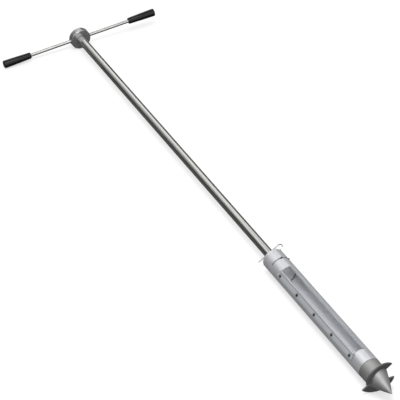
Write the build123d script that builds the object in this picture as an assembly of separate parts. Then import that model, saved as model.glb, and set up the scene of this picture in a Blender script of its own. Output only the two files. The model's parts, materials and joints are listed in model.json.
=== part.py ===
from build123d import *
import os
from math import asin, cos, degrees, radians, sin

# Silage sampling auger: a long T-handled drill whose head is a sample chamber. All sizes are millimetres.
# It is drawn upright on the Z axis, point at Z = 0, cross bar along Y, sample window facing +X.
# Angles go round the axis from +X towards +Y. At the end it is laid on the ground as it comes to rest.

# Overall sizes
overall_length = 1820.0
handle_width = 505.0

# Fits
press_gap = 0.02
slide_gap = 0.1
turning_gap = 0.3
end_play = 0.5

# Cone point, turned in one piece with its collar and spigot
cone_height = 70.0
cone_bulge = 1.3
point_radius = 1.2
point_bluntness = 0.7
collar_diameter = 59.0
collar_length = 34.0
collar_chamfer = 0.8
spigot_length = 20.0

# Flights welded on the cone
flight_diameter = 99.0
flight_start_diameter = 79.0
flight_core_diameter = 8.0
flight_thickness = 4.0
flight_pitch = 37.5
flight_sweep = 144.0
flight_flare_sweep = 75.0
flight_start_height = 52.0
flight_start_angle = -82.5
flight_count = 2

# Chamber tube
tube_diameter = 60.0
tube_wall = 2.5
tube_length = 484.0

# Sample window in the tube
window_length = 366.0
window_above_collar = 41.0
window_start_angle = -35.5
window_sweep = 57.0
window_corner = 3.0

# Closing sleeve inside the tube
sleeve_wall = 1.5
sleeve_window_margin = 4.0
sleeve_edge_lap = 1.0

# Guide slot and the two guide screws that run in it
slot_below_tube_end = 38.0
guide_screw_diameter = 4.0
guide_screw_stand_out = 2.0
guide_screw_depth = 7.0
guide_screw_angle = 8.5
guide_screw_spacing = 48.0
closing_turn = 57.0

# Scraper blade, rolled to the tube with its lip folded up at the window
blade_thickness = 1.8
blade_length = 372.0
blade_start_angle = -70.0
blade_end_angle = -38.0
blade_corner = 3.0
lip_height = 7.5
lip_lean = 12.0
blade_screw_count = 5
blade_screw_pitch = 87.0
blade_screw_angle = -58.0
blade_screw_diameter = 4.0
blade_screw_head = 7.6
blade_screw_head_height = 2.2
blade_screw_head_radius = 1.3
socket_width = 2.5
socket_depth = 1.3

# Sleeve head, spindle and washer that carry the sleeve on the shaft
head_length = 60.0
head_chamfer = 1.0
spindle_length = 80.0
tenon_diameter = 16.0
tenon_length = 32.0
washer_thickness = 1.5

# Cap on the upper end of the tube, with its bush
cap_rim = 6.0
cap_chamfer = 3.5
cap_spigot_length = 12.0
bush_wall = 1.5

# Shaft
shaft_diameter = 25.0
shaft_wall = 2.0

# Wire clip through shaft and spindle
clip_wire = 3.2
clip_hole_gap = 0.4
clip_above_cap = 21.0
clip_angle = 62.5
clip_tail = 36.0
clip_eye_offset = 31.0
clip_eye_radius = 9.5
clip_eye_turn = 290.0
clip_eye_tilt = 8.0

# Handle
hub_diameter = 63.0
hub_thickness = 20.0
hub_roof = 4.0
hub_chamfer = 1.2
bar_diameter = 10.0
bar_chamfer = 0.5
grip_length = 88.0
grip_inner_diameter = 19.0
grip_outer_diameter = 24.0
grip_middle_diameter = 22.0
grip_end_wall = 5.0
grip_edge_radius = 2.5
set_screw_diameter = 6.0

# How far a cutter runs past what it cuts
clear = 1.0

# Heights and radii that follow from the sizes above
collar_top = cone_height + collar_length
tube_top = collar_top + tube_length
cap_top = tube_top + cap_rim
tube_outer = tube_diameter / 2
tube_inner = tube_outer - tube_wall
window_low = collar_top + window_above_collar
window_high = window_low + window_length
spigot_top = collar_top + spigot_length
sleeve_outer = tube_inner - turning_gap
sleeve_inner = sleeve_outer - sleeve_wall
cap_spigot_low = tube_top - cap_spigot_length
sleeve_top = cap_spigot_low - end_play - washer_thickness
sleeve_low = spigot_top + end_play
head_low = sleeve_top - head_length
slot_height = tube_top - slot_below_tube_end
slot_width = guide_screw_diameter + 2 * turning_gap
clip_height = cap_top + clip_above_cap
shaft_outer = shaft_diameter / 2
shaft_inner = shaft_outer - shaft_wall
spindle_radius = shaft_inner - slide_gap
shaft_low = sleeve_top
hub_low = overall_length - hub_thickness
hub_radius = hub_diameter / 2
bar_height = overall_length - hub_thickness / 2
shaft_top = overall_length - hub_roof
bar_radius = bar_diameter / 2
bar_length = handle_width - 2 * grip_end_wall


def upright(radius, low, high):
    """Round bar on the axis between two heights."""
    return Pos(0, 0, low) * Cylinder(radius, high - low, align=(Align.CENTER, Align.CENTER, Align.MIN))


def ring(outer, inner, low, high):
    """Round tube on the axis between two heights."""
    return upright(outer, low, high) - upright(inner, low, high)


def sector(inner, outer, low, high, start, sweep):
    """Piece of a ring, from a start angle through a sweep."""
    section = Plane.XZ * Pos((inner + outer) / 2, (low + high) / 2) * Rectangle(outer - inner, high - low)
    return Rot(0, 0, start) * revolve(section, Axis.Z, revolution_arc=sweep)


def radial_bar(radius, inner, outer, height, angle):
    """Round bar along a radius, between two distances from the axis."""
    bar = Cylinder(radius, outer - inner, align=(Align.CENTER, Align.CENTER, Align.MIN))
    return Rot(0, 0, angle) * Pos(inner, 0, height) * Rot(0, 90, 0) * bar


def hex_socket(width, depth, outer, height, angle):
    """Six-sided recess sunk from a distance outside towards the axis."""
    recess = extrude(RegularPolygon(width / 2, 6, major_radius=False), depth)
    return Rot(0, 0, angle) * Pos(outer - depth, 0, height) * Rot(0, 90, 0) * recess


def radial_edges(shape):
    """Straight edges that lie square to the axis."""
    lines = shape.edges().filter_by(GeomType.LINE)
    return lines.filter_by(lambda edge: abs((edge @ 1 - edge @ 0).Z) < edge.length / 100)


def window_cut(inner, outer, low, high, start, sweep):
    """Cutter for a window with rounded corners."""
    cutter = sector(inner, outer, low, high, start, sweep)
    return fillet(radial_edges(cutter), window_corner)


def blade_screw_heights():
    """Heights of the blade screws, spaced evenly about the blade's middle."""
    middle = (window_low + window_high) / 2
    first = middle - blade_screw_pitch * (blade_screw_count - 1) / 2
    return [first + blade_screw_pitch * i for i in range(blade_screw_count)]


def auger_tip():
    """Cone point with its collar and the spigot that the tube is screwed on."""
    collar = collar_diameter / 2
    start = (point_radius, point_bluntness)
    middle = ((start[0] + collar) / 2 + cone_bulge, (start[1] + cone_height) / 2)
    point = Line((0, 0), start)
    flank = ThreePointArc(start, middle, (collar, cone_height))
    back = Polyline(
        (collar, cone_height),
        (collar, collar_top - collar_chamfer),
        (collar - collar_chamfer, collar_top),
        (tube_inner - press_gap, collar_top),
        (tube_inner - press_gap, spigot_top - collar_chamfer),
        (tube_inner - press_gap - collar_chamfer, spigot_top),
        (0, spigot_top),
        (0, 0),
    )
    section = make_face(point + flank + back)
    return revolve(Plane.XZ * section, Axis.Z)


def flight_outline():
    """Flat outline of a flight: a round sector that flares to its trailing corner."""
    inner = flight_start_diameter / 2
    bend = flight_sweep - flight_flare_sweep
    turn = radians(flight_sweep)
    corner = (flight_diameter / 2 * cos(turn), flight_diameter / 2 * sin(turn))
    rim = CenterArc((0, 0), inner, 0, bend)
    flare = TangentArc(rim @ 1, corner, tangent=rim % 1)
    return make_face(Line((0, 0), rim @ 0) + rim + flare + Line(corner, (0, 0)))


def flight(start_angle, tip):
    """Helical wing with a flared outline, cut to sit on the cone."""
    rise = flight_pitch * flight_sweep / 360
    inner_edge = Helix(flight_pitch, rise, flight_core_diameter / 2)
    outer_edge = Helix(flight_pitch, rise, flight_diameter / 2)
    ramp = Face.make_surface_from_curves(inner_edge, outer_edge)
    wing = extrude(ramp, flight_thickness, dir=(0, 0, 1))
    wing &= extrude(flight_outline(), rise + flight_thickness)
    return Rot(0, 0, start_angle) * Pos(0, 0, flight_start_height) * wing - tip


def chamber_tube():
    """Tube with the sample window, the guide slot and the blade's screw holes."""
    body = ring(tube_outer, tube_inner, collar_top, tube_top)
    deep = tube_inner - clear
    out = tube_outer + clear
    body -= window_cut(deep, out, window_low, window_high, window_start_angle, window_sweep)
    slot_start = guide_screw_angle - closing_turn
    slot_sweep = guide_screw_spacing + closing_turn
    slot_low = slot_height - slot_width / 2
    slot = sector(deep, out, slot_low, slot_low + slot_width, slot_start, slot_sweep)
    slot += radial_bar(slot_width / 2, deep, out, slot_height, slot_start)
    slot += radial_bar(slot_width / 2, deep, out, slot_height, slot_start + slot_sweep)
    body -= slot
    for height in blade_screw_heights():
        body -= radial_bar(blade_screw_diameter / 2, deep, out, height, blade_screw_angle)
    return body


def scraper_blade():
    """Strip rolled to the tube, with its edge folded up as a lip beside the window."""
    low = (window_low + window_high - blade_length) / 2
    high = low + blade_length
    outer = tube_outer + blade_thickness
    sweep = blade_end_angle - blade_start_angle
    strip = sector(tube_outer, outer, low, high, blade_start_angle, sweep)
    lip = Box(lip_height, blade_thickness, blade_length, align=(Align.MIN, Align.MAX, Align.MIN))
    lip = Rot(0, 0, blade_end_angle) * Pos(tube_outer, 0, low) * Rot(0, 0, lip_lean) * lip
    blade = strip + lip
    outer_corners = radial_edges(blade).filter_by(
        lambda edge: abs(edge.length - blade_thickness) < 0.01
        and abs((edge @ 0).rotate(Axis.Z, -blade_start_angle).Y) < 0.01
    )
    blade = fillet(outer_corners, blade_corner)
    hole = blade_screw_diameter / 2 + slide_gap
    for height in blade_screw_heights():
        blade -= radial_bar(hole, tube_outer - clear, outer + clear, height, blade_screw_angle)
    return blade


def blade_screw(height):
    """Button-head screw through the blade into the tube wall."""
    seat = tube_outer + blade_thickness
    top = seat + blade_screw_head_height
    thread = blade_screw_diameter / 2 - press_gap
    shank = radial_bar(thread, tube_inner + slide_gap, seat, height, blade_screw_angle)
    head = radial_bar(blade_screw_head / 2, seat, top, height, blade_screw_angle)
    rims = head.edges().filter_by(GeomType.CIRCLE)
    crown = rims.sort_by(lambda edge: edge.arc_center.X**2 + edge.arc_center.Y**2)[-1]
    head = fillet(crown, blade_screw_head_radius)
    return shank + head - hex_socket(socket_width, socket_depth, top, height, blade_screw_angle)


def closing_sleeve():
    """Sleeve that turns inside the tube and shuts the window."""
    body = ring(sleeve_outer, sleeve_inner, sleeve_low, sleeve_top)
    window_end = window_start_angle + window_sweep - sleeve_edge_lap
    window_start = window_start_angle - sleeve_edge_lap
    body -= window_cut(
        sleeve_inner - clear,
        sleeve_outer + clear,
        window_low - sleeve_window_margin,
        window_high + sleeve_window_margin,
        window_start,
        window_end - window_start,
    )
    for angle in guide_screw_angles():
        bore = guide_screw_diameter / 2
        body -= radial_bar(bore, sleeve_inner - clear, sleeve_outer + clear, slot_height, angle)
    return body


def guide_screw_angles():
    """Places of the guide screws round the axis with the window open."""
    return [guide_screw_angle, guide_screw_angle + guide_screw_spacing]


def sleeve_head():
    """Plug in the top of the sleeve, bored for the spindle's tenon."""
    body = upright(sleeve_inner - press_gap, head_low, sleeve_top)
    body = chamfer(body.edges().group_by(Axis.Z)[0], head_chamfer)
    body -= upright(tenon_diameter / 2, sleeve_top - tenon_length, sleeve_top)
    for angle in guide_screw_angles():
        bore = guide_screw_diameter / 2
        deep = sleeve_inner - guide_screw_depth
        body -= radial_bar(bore, deep, sleeve_inner + clear, slot_height, angle)
    return body


def guide_screw(angle):
    """Set screw that holds the sleeve to its head and runs in the tube's slot."""
    outer = tube_outer + guide_screw_stand_out
    radius = guide_screw_diameter / 2
    body = radial_bar(radius - press_gap, sleeve_inner - guide_screw_depth, outer, slot_height, angle)
    return body - hex_socket(radius, radius, outer, slot_height, angle)


def spindle():
    """Stub that joins the sleeve head to the shaft."""
    body = upright(tenon_diameter / 2 - press_gap, sleeve_top - tenon_length, sleeve_top)
    stub = upright(spindle_radius, sleeve_top, sleeve_top + spindle_length)
    stub = chamfer(stub.edges().group_by(Axis.Z)[-1], head_chamfer)
    return body + stub - clip_hole()


def clip_hole():
    """Cross hole for the wire clip."""
    reach = shaft_outer + clear
    return radial_bar(clip_wire / 2 + clip_hole_gap, -reach, reach, clip_height, clip_angle)


def thrust_washer():
    """Plastic washer between the sleeve and the cap."""
    return ring(sleeve_inner, shaft_outer + turning_gap, sleeve_top, sleeve_top + washer_thickness)


def top_cap():
    """Cap screwed into the tube, with a chamfered rim."""
    rim = upright(tube_outer, tube_top, cap_top)
    rim = chamfer(rim.edges().group_by(Axis.Z)[-1], cap_chamfer)
    body = rim + upright(tube_inner - press_gap, cap_spigot_low, tube_top)
    return body - upright(shaft_outer + slide_gap + bush_wall, cap_spigot_low, cap_top)


def shaft_bush():
    """Plastic bush in the cap that the shaft turns in."""
    bore = shaft_outer + slide_gap
    return ring(bore + bush_wall - press_gap, bore, cap_spigot_low, cap_top)


def shaft_tube():
    """Shaft from the sleeve head up into the handle hub, cross-drilled for clip and bar."""
    body = ring(shaft_outer, shaft_inner, shaft_low, shaft_top)
    return body - clip_hole() - cross_bore()


def cross_bore():
    """Hole for the cross bar, along Y."""
    bore = Cylinder(bar_radius + press_gap, hub_diameter + 2 * clear)
    return Pos(0, 0, bar_height) * Rot(90, 0, 0) * bore


def locking_clip():
    """Wire clip: a straight leg with an eye to pull it by."""
    eye_centre = (clip_eye_offset, -clip_eye_radius)
    leg = Line((-clip_tail, 0), (clip_eye_offset, 0))
    eye = CenterArc(eye_centre, clip_eye_radius, 90, -clip_eye_turn)
    wire = Wire((leg + eye).edges())
    section = Plane(origin=wire @ 0, z_dir=wire % 0) * Circle(clip_wire / 2)
    clip = sweep(section, wire)
    upright_plane = Rot(90, 0, 0) * clip
    return Rot(0, 0, clip_angle) * Pos(0, 0, clip_height) * Rot(-clip_eye_tilt, 0, 0) * upright_plane


def handle_hub():
    """Disc that joins the shaft and the cross bar."""
    disc = upright(hub_radius, hub_low, overall_length)
    disc = chamfer(disc.edges(), hub_chamfer)
    disc -= upright(shaft_outer + press_gap, hub_low, shaft_top)
    disc -= cross_bore()
    return disc - upright(set_screw_diameter / 2, shaft_top, overall_length)


def hub_set_screw():
    """Set screw in the hub's roof that bears on the cross bar."""
    low = bar_height + bar_radius
    body = upright(set_screw_diameter / 2 - press_gap, low, overall_length - hub_chamfer)
    socket = extrude(RegularPolygon(set_screw_diameter / 4, 6, major_radius=False), set_screw_diameter / 2)
    return body - Pos(0, 0, overall_length - hub_chamfer - set_screw_diameter / 2) * socket


def cross_bar():
    """Round bar through hub and shaft."""
    bar = Cylinder(bar_radius, bar_length)
    bar = chamfer(bar.edges().filter_by(GeomType.CIRCLE), bar_chamfer)
    return Pos(0, 0, bar_height) * Rot(90, 0, 0) * bar


def grip(side):
    """Tapered grip pushed on one end of the bar; side is +1 or -1 along Y."""
    inner = grip_inner_diameter / 2
    outer = grip_outer_diameter / 2
    swell = (grip_middle_diameter / 2, grip_length / 2)
    profile = (
        Line((0, 0), (inner, 0))
        + ThreePointArc((inner, 0), swell, (outer, grip_length))
        + Polyline((outer, grip_length), (0, grip_length), (0, 0))
    )
    body = revolve(Plane.XZ * make_face(profile), Axis.Z)
    ends = body.edges().filter_by(GeomType.CIRCLE)
    body = fillet(ends, grip_edge_radius)
    body -= upright(bar_radius, 0, grip_length - grip_end_wall)
    inner_end = handle_width / 2 - grip_length
    return Pos(0, side * inner_end, bar_height) * Rot(-side * 90, 0, 0) * body


def rest_place(pieces, wings):
    """Turn and shift that lay the tool on the ground, on hub, one grip and a flight."""
    roll = degrees(asin((hub_radius - grip_outer_diameter / 2) / (handle_width / 2)))
    laid = Rot(roll, 0, 0) * Rot(0, -90, 0)
    wing_reach = -min((laid * wing).bounding_box().min.Z for wing in wings)
    slope = degrees(asin((wing_reach - hub_radius) / (bar_height - flight_start_height)))
    turned = Rot(0, -slope, 0) * laid
    box = Compound([turned * piece for piece in pieces]).bounding_box()
    middle = box.center()
    return Pos(-middle.X, -middle.Y, -box.min.Z) * turned


tip = auger_tip()
nodes = {
    "auger_tip": tip,
    "chamber_tube": chamber_tube(),
    "scraper_blade": scraper_blade(),
    "blade_screws": Compound([blade_screw(height) for height in blade_screw_heights()]),
    "closing_sleeve": closing_sleeve(),
    "sleeve_head": sleeve_head(),
    "guide_screws": Compound([guide_screw(angle) for angle in guide_screw_angles()]),
    "spindle": spindle(),
    "thrust_washer": thrust_washer(),
    "top_cap": top_cap(),
    "shaft_bush": shaft_bush(),
    "shaft_tube": shaft_tube(),
    "locking_clip": locking_clip(),
    "handle_hub": handle_hub(),
    "hub_set_screw": hub_set_screw(),
    "cross_bar": cross_bar(),
    "left_grip": grip(-1),
    "right_grip": grip(1),
}
flights = [flight(flight_start_angle + 360 / flight_count * index, tip) for index in range(flight_count)]
for number, wing in enumerate(flights, start=1):
    nodes[f"flight_{number}"] = wing

place = rest_place(nodes.values(), flights)
os.makedirs("parts", exist_ok=True)
for name, shape in nodes.items():
    export_step(place * shape, f"parts/{name}.step")
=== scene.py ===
import json
import math

import bmesh
import bpy
from mathutils import Matrix, Vector

bl_info = {
    "name": "Silage sampling auger",
    "version": (1, 0, 0),
    "blender": (4, 5, 0),
    "location": "3D View > Sidebar > Sampler",
    "description": "Finishes and studio for a silage sampling auger",
    "category": "Object",
}

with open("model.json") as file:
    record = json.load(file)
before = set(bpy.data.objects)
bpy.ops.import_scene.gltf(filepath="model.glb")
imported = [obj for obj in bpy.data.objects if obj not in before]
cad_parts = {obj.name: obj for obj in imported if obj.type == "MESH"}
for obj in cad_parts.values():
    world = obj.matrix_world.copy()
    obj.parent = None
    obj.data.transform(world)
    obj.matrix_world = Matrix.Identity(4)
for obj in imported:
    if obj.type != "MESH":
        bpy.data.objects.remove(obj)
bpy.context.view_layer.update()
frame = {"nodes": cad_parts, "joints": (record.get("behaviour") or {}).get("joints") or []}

# The chamber's joint gives the tool's axis, which points from the cone to the hub.
joint = frame["joints"][0]
axis_point = Vector(joint["pos_m"])
axis = Vector(joint["axis"]).normalized()

# Two directions square to the axis, and the turn that lays Z along it.
across = axis.cross(Vector((0, 0, 1))).normalized()
lift = across.cross(axis)
tool_turn = Matrix((across, lift, axis)).transposed()

# Lengths are metres.
mm = 0.001

# Patterns that every metal has: clouds of tone, and smudges that dull the gloss.
# A scale is so many waves to the metre, and a range is the part of a noise that is used.
cloud_scale = 18
smudge_scale = 45
smudge_roughness = 0.06
smudge_range = (0.45, 0.7)
grain_range = (0.3, 0.7)

# Painted shade darkens gaps to this share of the patches' tone, and outer edges brighten by a gain and a
# lift, as rubbed wear and a painted highlight.
crevice_shade_tone = 0.12
crevice_shade_range = (0.35, 0.9)
edge_wear_and_highlight_gain = 1.25
edge_wear_and_highlight_lift = 0.15
edge_wear_and_highlight_range = (0.45, 0.85)
probe_rays = 12


# Shader building


def new_material(name):
    """Fresh material with its shader and its Object coordinates."""
    material = bpy.data.materials.new(name)
    material.use_nodes = True
    shader = material.node_tree.nodes["Principled BSDF"]
    coordinates = material.node_tree.nodes.new("ShaderNodeTexCoord")
    return material, shader, coordinates.outputs["Object"]


def add_node(material, kind, **settings):
    """New node with its settings, given as attributes or as input names."""
    node = material.node_tree.nodes.new(kind)
    for key, value in settings.items():
        if hasattr(node, key):
            setattr(node, key, value)
        else:
            node.inputs[key.replace("_", " ")].default_value = value
    return node


def join(material, source, target):
    material.node_tree.links.new(source, target)


def along_tool(material, coordinates, stretch):
    """Coordinates in the tool's own directions, with Z on its axis, scaled by stretch."""
    turn = add_node(material, "ShaderNodeMapping", vector_type="TEXTURE")
    turn.inputs["Location"].default_value = axis_point
    turn.inputs["Rotation"].default_value = tool_turn.to_euler()
    join(material, coordinates, turn.inputs["Vector"])
    scale = add_node(material, "ShaderNodeMapping")
    scale.inputs["Scale"].default_value = stretch
    join(material, turn.outputs["Vector"], scale.inputs["Vector"])
    return scale.outputs["Vector"]


def noise(material, vector, scale):
    node = add_node(material, "ShaderNodeTexNoise", Scale=scale, Detail=4.0)
    join(material, vector, node.inputs["Vector"])
    return node.outputs["Fac"]


def ramp(material, value, low, high, limits=(0.0, 1.0)):
    """Value between two limits mapped to low and high."""
    start, end = limits
    node = add_node(material, "ShaderNodeMapRange", clamp=True)
    for name, number in (("From Min", start), ("From Max", end), ("To Min", low), ("To Max", high)):
        node.inputs[name].default_value = number
    join(material, value, node.inputs["Value"])
    return node.outputs["Result"]


def mix_colour(material, factor, first, second):
    """Colour between two others; each is a colour or a socket."""
    node = add_node(material, "ShaderNodeMix", data_type="RGBA")
    factor_socket, first_socket, second_socket = node.inputs[0], node.inputs[6], node.inputs[7]
    join(material, factor, factor_socket)
    for socket, colour in ((first_socket, first), (second_socket, second)):
        if isinstance(colour, bpy.types.NodeSocket):
            join(material, colour, socket)
        else:
            socket.default_value = (*colour, 1)
    return node.outputs[2]


def bump(material, height, shader, distance):
    node = add_node(material, "ShaderNodeBump", Strength=1.0, Distance=distance)
    join(material, height, node.inputs["Height"])
    join(material, node.outputs["Normal"], shader.inputs["Normal"])


def toned(colour, share):
    """Darker or lighter tone of a colour."""
    return [share * part for part in colour]


def painted_crevice_shade(material, colour, reach, shade):
    """Colour that darkens towards shade in gaps and inner corners; this is painted shade, where less light
    reaches.
    """
    shade_probe = add_node(material, "ShaderNodeAmbientOcclusion", samples=probe_rays, Distance=reach)
    openness = ramp(material, shade_probe.outputs["AO"], 0, 1, crevice_shade_range)
    return mix_colour(material, openness, shade, colour)


def worn_and_highlit_edges(material, colour, reach, bright):
    """Colour that lightens towards bright on outer edges: rubbed wear, and a painted highlight where edges
    catch the light.
    """
    rim = add_node(material, "ShaderNodeAmbientOcclusion", samples=probe_rays, inside=True, Distance=reach)
    wear_and_highlight = ramp(material, rim.outputs["AO"], 1, 0, edge_wear_and_highlight_range)
    return mix_colour(material, wear_and_highlight, colour, bright)


def metal(
    name, colour, patches, gloss, grain=(1, 1, 1), scale=900,
    depth=0.01 * mm, purity=1.0, reach=4 * mm, edge=0.0,
):
    """Metal whose colour, gloss and surface vary.

    Patches is the tone of its cloudy patches, and gloss is its lowest and highest roughness. The
    grain is a noise of scale waves to the metre, stretched in the tool's directions and depth high.
    Purity is the share that reflects as metal. Painted shade darkens gaps up to about reach wide, and edge is
    how far round the outer edges rubbed wear and a painted highlight brighten it.
    """
    material, shader, coordinates = new_material(name)
    shader.inputs["Metallic"].default_value = purity
    lines = noise(material, along_tool(material, coordinates, grain), scale)
    clouds = noise(material, coordinates, cloud_scale)
    tint = mix_colour(material, clouds, patches, colour)
    # Painted shade: the colour darkens in gaps and inner corners.
    tint = painted_crevice_shade(material, tint, reach, toned(patches, crevice_shade_tone))
    # Outer edges lighten: rubbed wear and a painted edge highlight.
    if edge:
        rubbed_and_highlit = [min(1, edge_wear_and_highlight_gain * part + edge_wear_and_highlight_lift) for part in colour]
        tint = worn_and_highlit_edges(material, tint, edge, rubbed_and_highlit)
    join(material, tint, shader.inputs["Base Color"])
    smudges = ramp(material, noise(material, coordinates, smudge_scale), 0, smudge_roughness, smudge_range)
    roughness = add_node(material, "ShaderNodeMath", operation="ADD")
    join(material, ramp(material, lines, *gloss, grain_range), roughness.inputs[0])
    join(material, smudges, roughness.inputs[1])
    join(material, roughness.outputs["Value"], shader.inputs["Roughness"])
    bump(material, lines, shader, depth)
    return material


def finish_nodes(material, *names):
    """Gives CAD nodes a finish by their material slots."""
    for name in names:
        mesh = frame["nodes"][name].data
        for slot in range(len(mesh.materials)):
            mesh.materials[slot] = material


# Sizes and colours


def colour_of(name, description, default):
    return bpy.props.FloatVectorProperty(name=name, description=description, default=default, subtype="COLOR")


class SamplerFinish(bpy.types.PropertyGroup):
    steel: colour_of("Steel", "Colour of the polished steel", (0.74, 0.74, 0.72))
    aluminium: colour_of("Aluminium", "Colour of the satin tube", (0.76, 0.77, 0.8))
    hub: colour_of("Hub", "Colour of the turned hub", (0.56, 0.56, 0.57))
    blade: colour_of("Blade", "Colour of the scraper blade", (0.72, 0.75, 0.79))
    tip: colour_of("Point", "Colour of the cone and collar", (0.42, 0.42, 0.415))
    flight: colour_of("Flights", "Colour of the flights", (0.19, 0.19, 0.19))
    screw: colour_of("Screws", "Colour of the guide and set screws", (0.05, 0.05, 0.05))
    rubbed_screw: colour_of("Blade screws", "Colour of the rubbed blade screws", (0.12, 0.12, 0.125))
    bearing: colour_of("Bearings", "Colour of the washer and the bush", (0.86, 0.86, 0.83))
    grip: colour_of("Grips", "Colour of the moulded grips", (0.008, 0.008, 0.01))
    grip_roughness: bpy.props.FloatProperty(
        name="Grip roughness", description="Roughness of the glossy grips", default=0.07, min=0, max=1
    )


class SamplerStage(bpy.types.PropertyGroup):
    floor_size: bpy.props.FloatProperty(
        name="Floor", description="Side of the floor", default=30, unit="LENGTH"
    )
    floor_grey: bpy.props.FloatProperty(
        name="Floor grey", description="Brightness of the floor's paper", default=0.5, min=0, max=1
    )
    floor_glow: bpy.props.FloatProperty(
        name="Floor glow", description="White added to the floor where it shows as background", default=0.6
    )
    camera_place: bpy.props.FloatVectorProperty(
        name="Camera", description="Place of the camera", default=(3.8682, -2.0145, 3.3255), unit="LENGTH"
    )
    azimuth: bpy.props.FloatProperty(
        name="Azimuth", description="Turn of the view from +Y", default=math.radians(63.08), unit="ROTATION"
    )
    elevation: bpy.props.FloatProperty(
        name="Dip", description="Angle of the view below level", default=math.radians(37.2), unit="ROTATION"
    )
    roll: bpy.props.FloatProperty(
        name="Roll", description="Tilt of the camera", default=math.radians(-0.54), unit="ROTATION"
    )
    lens: bpy.props.FloatProperty(
        name="Lens", description="Focal length in mm on a 36 mm sensor", default=180.0
    )
    lamp_place: bpy.props.FloatVectorProperty(
        name="Lamp", description="Place of the overhead softbox", default=(0.6, -0.6, 3.2), unit="LENGTH"
    )
    lamp_aim: bpy.props.FloatVectorProperty(
        name="Lamp aim", description="Point that the softbox faces", default=(0.2, 0, 0), unit="LENGTH"
    )
    lamp_size: bpy.props.FloatProperty(
        name="Lamp size", description="Side of the softbox", default=1.4, unit="LENGTH"
    )
    lamp_power: bpy.props.FloatProperty(
        name="Lamp power", description="Power of the overhead softbox", default=48, unit="POWER"
    )
    tent_level: bpy.props.FloatProperty(
        name="Tent", description="Strength of the light that the world gives", default=0.64
    )


# Finishes


class SAMPLER_OT_bright_steel(bpy.types.Operator):
    """Polished stainless steel for shaft, spindle and clip, and plainer steel for the cross bar"""

    bl_idname = "sampler.bright_steel"
    bl_label = "Bright steel"

    def execute(self, context):
        colour = context.scene.sampler_finish.steel
        patches = toned(colour, 0.9)
        polished = metal("polished_steel", colour, patches, (0.09, 0.16), grain=(1, 1, 0.02))
        finish_nodes(polished, "shaft_tube", "spindle", "locking_clip")
        plain = metal("bar_steel", toned(colour, 0.72), patches, (0.16, 0.24), edge=0.8 * mm)
        finish_nodes(plain, "cross_bar")
        return {"FINISHED"}


class SAMPLER_OT_satin_aluminium(bpy.types.Operator):
    """Satin aluminium for the chamber tube, its cap, the sleeve and its head"""

    bl_idname = "sampler.satin_aluminium"
    bl_label = "Satin aluminium"

    def execute(self, context):
        colour = context.scene.sampler_finish.aluminium
        patches = toned(colour, 0.92)
        satin = metal(
            "satin_tube", colour, patches, (0.32, 0.42),
            grain=(1, 1, 0.03), scale=700, depth=0.02 * mm, purity=0.6, edge=1.1 * mm,
        )
        finish_nodes(satin, "chamber_tube", "top_cap")
        drawn = metal(
            "drawn_sleeve", colour, patches, (0.38, 0.5),
            grain=(1, 1, 0.02), scale=500, depth=0.03 * mm, purity=0.35, reach=5 * mm, edge=0.9 * mm,
        )
        finish_nodes(drawn, "closing_sleeve")
        warm = (colour[0], 0.97 * colour[0], 0.92 * colour[0])
        faced = metal("faced_head", warm, patches, (0.34, 0.46), scale=600, depth=0.02 * mm, purity=0.3)
        finish_nodes(faced, "sleeve_head")
        return {"FINISHED"}


class SAMPLER_OT_hub_finish(bpy.types.Operator):
    """Turned steel for the handle hub"""

    bl_idname = "sampler.hub_finish"
    bl_label = "Turned hub"

    def execute(self, context):
        colour = context.scene.sampler_finish.hub
        turned = metal(
            "turned_hub", colour, toned(colour, 0.8), (0.2, 0.3),
            scale=400, depth=0.02 * mm, purity=0.8, edge=1 * mm,
        )
        finish_nodes(turned, "handle_hub")
        return {"FINISHED"}


class SAMPLER_OT_blade_finish(bpy.types.Operator):
    """Ground sheet steel for the scraper blade"""

    bl_idname = "sampler.blade_finish"
    bl_label = "Scraper blade"

    def execute(self, context):
        colour = context.scene.sampler_finish.blade
        # The long reach paints shade along the crease where the blade's lip stands up.
        ground = metal(
            "ground_blade", colour, toned(colour, 0.82), (0.34, 0.44),
            grain=(1, 1, 0.05), scale=800, depth=0.02 * mm, purity=0.42, reach=26 * mm, edge=0.7 * mm,
        )
        finish_nodes(ground, "scraper_blade")
        return {"FINISHED"}


class SAMPLER_OT_point_finish(bpy.types.Operator):
    """Blasted steel for the cone point and dark steel for its flights"""

    bl_idname = "sampler.point_finish"
    bl_label = "Point and flights"

    def execute(self, context):
        tip = context.scene.sampler_finish.tip
        flight = context.scene.sampler_finish.flight
        blasted = metal(
            "blasted_point", tip, toned(tip, 0.75), (0.52, 0.62),
            scale=1200, depth=0.03 * mm, purity=0.75,
        )
        finish_nodes(blasted, "auger_tip")
        forged = metal(
            "dark_flight", flight, toned(flight, 0.7), (0.42, 0.55),
            depth=0.04 * mm, purity=0.8, edge=1.6 * mm,
        )
        finish_nodes(forged, "flight_1", "flight_2")
        return {"FINISHED"}


class SAMPLER_OT_black_parts(bpy.types.Operator):
    """Black oxide screws, rubbed where they hold the blade"""

    bl_idname = "sampler.black_parts"
    bl_label = "Black screws"

    def execute(self, context):
        finish = context.scene.sampler_finish
        black = metal("black_oxide", finish.screw, toned(finish.screw, 0.6), (0.35, 0.5))
        finish_nodes(black, "guide_screws", "hub_set_screw")
        rubbed_and_highlit = metal(
            "rubbed_black", finish.rubbed_screw, (0.07, 0.07, 0.07), (0.3, 0.42),
            purity=0.8, reach=2 * mm, edge=1 * mm,
        )
        finish_nodes(rubbed_and_highlit, "blade_screws")
        return {"FINISHED"}


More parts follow.
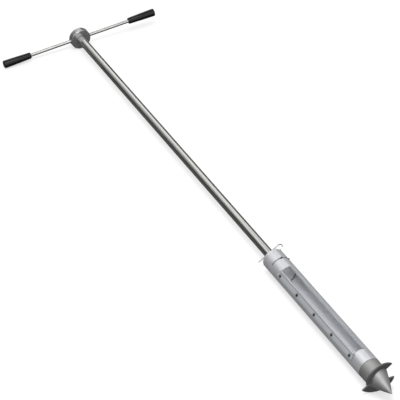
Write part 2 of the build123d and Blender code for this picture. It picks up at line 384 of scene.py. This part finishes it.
class SAMPLER_OT_plastics(bpy.types.Operator):
    """Glossy grips, and the pale washer and bush"""

    bl_idname = "sampler.plastics"
    bl_label = "Plastics"

    def execute(self, context):
        finish = context.scene.sampler_finish
        self.mould_grips(finish.grip, finish.grip_roughness)
        self.machine_bearings(finish.bearing)
        return {"FINISHED"}

    def mould_grips(self, colour, roughness):
        material, shader, coordinates = new_material("moulded_grip")
        clouds = noise(material, coordinates, 60)
        join(material, mix_colour(material, clouds, toned(colour, 0.6), colour), shader.inputs["Base Color"])
        join(material, ramp(material, clouds, roughness, 1.4 * roughness), shader.inputs["Roughness"])
        shader.inputs["Specular IOR Level"].default_value = 0.4
        bump(material, noise(material, coordinates, 1500), shader, 0.003 * mm)
        finish_nodes(material, "left_grip", "right_grip")

    def machine_bearings(self, colour):
        material, shader, coordinates = new_material("pale_bearing")
        clouds = noise(material, coordinates, 200)
        join(material, mix_colour(material, clouds, (0.8, 0.8, 0.76), colour), shader.inputs["Base Color"])
        join(material, ramp(material, clouds, 0.4, 0.55), shader.inputs["Roughness"])
        finish_nodes(material, "thrust_washer", "shaft_bush")


# Studio


def background_seen(tree):
    """Socket that is 1 where the camera, a reflection or something clear shows the background."""
    path = tree.nodes.new("ShaderNodeLightPath")
    seen = path.outputs["Is Camera Ray"]
    for name in ("Is Glossy Ray", "Is Transmission Ray"):
        either = tree.nodes.new("ShaderNodeMath")
        either.operation = "MAXIMUM"
        tree.links.new(seen, either.inputs[0])
        tree.links.new(path.outputs[name], either.inputs[1])
        seen = either.outputs["Value"]
    return seen


class SAMPLER_OT_stage(bpy.types.Operator):
    """Pale floor, cards for the reflections, softbox, world and camera"""

    bl_idname = "sampler.stage"
    bl_label = "Studio"

    # Where the cards lie: their ends past hub and point, their sides, the roof and just above the floor.
    hub_end = -12
    point_end = 5
    front = -6
    back = 5
    roof = 4
    roof_end = -4.3
    sheet = 1 * mm
    upper_sheet = 1.5 * mm
    axis_side = -0.02
    strip_height = 3

    # Cards that only reflections show, each with two corners and a brightness. The dark and grey ones put
    # the bands on the metals as this camera sees them, and the strips put a shine on the grips.
    cards = {
        "front_floor_card": ((hub_end, front, sheet), (2, axis_side, sheet), 0.1),
        "front_card": ((hub_end, front, 0), (3, front, 3.6), 0.06),
        "front_grey_card": ((hub_end, -6.9, roof), (roof_end, -2.45, roof), 0.3),
        "ridge_card": ((hub_end, -2.45, roof), (roof_end, -2.2, roof), 0.12),
        "top_grey_card": ((hub_end, -2.2, roof), (roof_end, -0.56, roof), 0.55),
        "back_floor_card": ((hub_end, axis_side, sheet), (0.32, back, sheet), 0.08),
        "tube_floor_card": ((0.32, axis_side, sheet), (point_end, back, sheet), 0.22),
        "far_floor_card": ((hub_end, front, upper_sheet), (-0.94, back, upper_sheet), 0.06),
        "left_grip_strip": ((-0.7, 0.42, strip_height), (0.3, 0.52, strip_height), 5),
        "right_grip_strip": ((-0.7, 0.69, strip_height), (0.3, 0.76, strip_height), 5),
        "bar_card": ((-2.7, 0.2, 3.05), (-0.72, 1.1, 3.05), 0.12),
        "back_card": ((hub_end, back, 0.3), (point_end, back, 4.6), 0.1),
    }

    def execute(self, context):
        stage = context.scene.sampler_stage
        self.make_floor(stage)
        for name, (low, high, level) in self.cards.items():
            self.make_card(name, Vector(low), Vector(high), level)
        self.make_world(context, stage)
        self.make_lamp(context, stage)
        self.make_camera(context, stage)
        context.scene.view_settings.view_transform = "Standard"
        return {"FINISHED"}

    def make_floor(self, stage):
        reach = Vector((stage.floor_size, stage.floor_size, 0)) / 2
        floor = self.make_plane("floor", -reach, reach)
        material, shader, _ = new_material("floor_paper")
        tree = material.node_tree
        shader.inputs["Base Color"].default_value = (*[stage.floor_grey] * 3, 1)
        shader.inputs["Roughness"].default_value = 0.9
        shader.inputs["Specular IOR Level"].default_value = 0.1
        glow = add_node(material, "ShaderNodeEmission")
        strength = add_node(material, "ShaderNodeMath", operation="MULTIPLY")
        strength.inputs[1].default_value = stage.floor_glow
        join(material, background_seen(tree), strength.inputs[0])
        join(material, strength.outputs["Value"], glow.inputs["Strength"])
        both = add_node(material, "ShaderNodeAddShader")
        join(material, shader.outputs["BSDF"], both.inputs[0])
        join(material, glow.outputs["Emission"], both.inputs[1])
        join(material, both.outputs["Shader"], tree.nodes["Material Output"].inputs["Surface"])
        floor.data.materials.append(material)

    def make_card(self, name, low, high, level):
        # Each card glows at its level and only reflections show it: painted reflections, dark or bright, that
        # light nothing.
        card = self.make_plane(name, low, high)
        material, shader, _ = new_material(name + "_paper")
        shader.inputs["Base Color"].default_value = (0, 0, 0, 1)
        shader.inputs["Specular IOR Level"].default_value = 0
        shader.inputs["Emission Color"].default_value = (level, level, level, 1)
        shader.inputs["Emission Strength"].default_value = 1
        card.data.materials.append(material)
        card.visible_camera = card.visible_diffuse = card.visible_shadow = False

    def make_plane(self, name, low, high):
        """Flat sheet between two corners, level or standing along X."""
        middle, size = (low + high) / 2, high - low
        shape = bmesh.new()
        bmesh.ops.create_grid(shape, x_segments=1, y_segments=1, size=0.5)
        if size.z:
            bmesh.ops.rotate(shape, verts=shape.verts, matrix=Matrix.Rotation(math.pi / 2, 3, "X"))
        bmesh.ops.scale(shape, verts=shape.verts, vec=size)
        bmesh.ops.translate(shape, verts=shape.verts, vec=middle)
        mesh = bpy.data.meshes.new(name)
        shape.to_mesh(mesh)
        shape.free()
        sheet = bpy.data.objects.new(name, mesh)
        bpy.context.scene.collection.objects.link(sheet)
        return sheet

    def make_world(self, context, stage):
        """White where it shows as background, and at the tent's level where it lights the object."""
        world = bpy.data.worlds.new("light_tent")
        world.use_nodes = True
        context.scene.world = world
        tree = world.node_tree
        tent = tree.nodes["Background"]
        tent.inputs["Color"].default_value = (1, 1, 1, 1)
        level = tree.nodes.new("ShaderNodeMix")
        level.data_type = "FLOAT"
        level.inputs["A"].default_value = stage.tent_level
        level.inputs["B"].default_value = 1
        tree.links.new(background_seen(tree), level.inputs["Factor"])
        tree.links.new(level.outputs["Result"], tent.inputs["Strength"])

    def make_lamp(self, context, stage):
        """Square area lamp that faces its aim."""
        light = bpy.data.lights.new("overhead_softbox", "AREA")
        light.size = stage.lamp_size
        light.energy = stage.lamp_power
        lamp = bpy.data.objects.new("overhead_softbox", light)
        lamp.location = stage.lamp_place
        direction = Vector(stage.lamp_aim) - Vector(stage.lamp_place)
        lamp.rotation_euler = direction.to_track_quat("-Z", "Y").to_euler()
        context.scene.collection.objects.link(lamp)

    def make_camera(self, context, stage):
        turn = Matrix.Rotation(stage.azimuth, 4, "Z")
        tilt = Matrix.Rotation(math.pi / 2 - stage.elevation, 4, "X")
        lean = Matrix.Rotation(stage.roll, 4, "Z")
        data = bpy.data.cameras.new("camera")
        data.lens = stage.lens
        data.sensor_width = 36
        data.clip_end = 100
        camera = bpy.data.objects.new("camera", data)
        camera.matrix_world = Matrix.Translation(stage.camera_place) @ turn @ tilt @ lean
        context.scene.collection.objects.link(camera)
        context.scene.camera = camera


class SAMPLER_PT_panel(bpy.types.Panel):
    """Finishes and studio of the sampling auger"""

    bl_label = "Sampler"
    bl_space_type = "VIEW_3D"
    bl_region_type = "UI"
    bl_category = "Sampler"

    def draw(self, context):
        column = self.layout.column()
        for group in (context.scene.sampler_finish, context.scene.sampler_stage):
            for name in group.bl_rna.properties.keys():
                if name not in ("rna_type", "name"):
                    column.prop(group, name)
        for step in steps:
            column.operator(step.bl_idname)


steps = (
    SAMPLER_OT_bright_steel,
    SAMPLER_OT_satin_aluminium,
    SAMPLER_OT_hub_finish,
    SAMPLER_OT_blade_finish,
    SAMPLER_OT_point_finish,
    SAMPLER_OT_black_parts,
    SAMPLER_OT_plastics,
    SAMPLER_OT_stage,
)
classes = (SamplerFinish, SamplerStage, *steps, SAMPLER_PT_panel)


def register():
    for item in classes:
        bpy.utils.register_class(item)
    bpy.types.Scene.sampler_finish = bpy.props.PointerProperty(type=SamplerFinish)
    bpy.types.Scene.sampler_stage = bpy.props.PointerProperty(type=SamplerStage)


def unregister():
    del bpy.types.Scene.sampler_stage
    del bpy.types.Scene.sampler_finish
    for item in reversed(classes):
        bpy.utils.unregister_class(item)


def main():
    register()
    for step in steps:
        group, name = step.bl_idname.split(".")
        getattr(getattr(bpy.ops, group), name)()


if __name__ == "__main__":
    main()
